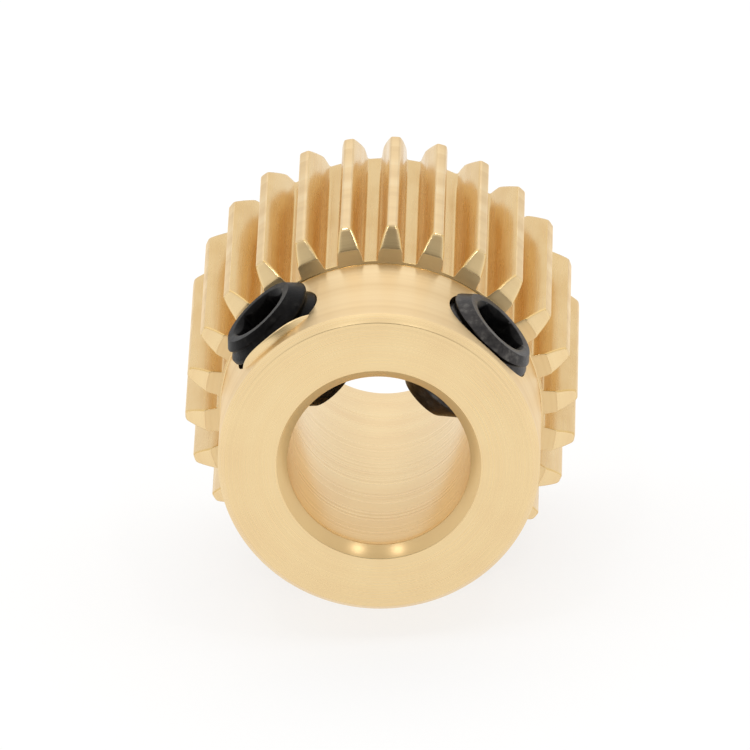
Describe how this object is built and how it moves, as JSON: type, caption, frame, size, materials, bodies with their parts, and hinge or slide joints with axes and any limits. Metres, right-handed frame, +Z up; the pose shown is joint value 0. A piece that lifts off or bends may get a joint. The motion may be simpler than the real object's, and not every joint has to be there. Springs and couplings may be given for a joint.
{
  "type": "extruder drive gear",
  "caption": "Brass drive gear with a straight-toothed ring, a plain hub and a through bore, clamped to its shaft by two grub screws in the hub.",
  "frame": {"origin": "on the bore axis, in the plane of the shoulder between the hub and the toothed ring", "axes": "+Y along the bore from the hub towards the toothed end, +Z up with the gear lying on its teeth and both grub screws upward, +X to the right seen from the hub end"},
  "size_m": [0.0108, 0.011, 0.0108],
  "materials": {
    "brass": "satin",
    "black_oxide_steel": "satin"
  },
  "bodies": {
    "gear": {"drive_gear": "brass"},
    "left_screw": {"grub_screw_left": "black_oxide_steel"},
    "right_screw": {"grub_screw_right": "black_oxide_steel"}
  },
  "joints": [
    {"name": "left_screw_travel", "type": "slide", "parent": "gear", "child": "left_screw", "axis": [-0.6225, 0, 0.7826], "range_m": [-0.00055, 0.00195]},
    {"name": "right_screw_travel", "type": "slide", "parent": "gear", "child": "right_screw", "axis": [0.749, 0, 0.6626], "range_m": [-0.00028, 0.0022]}
  ]
}
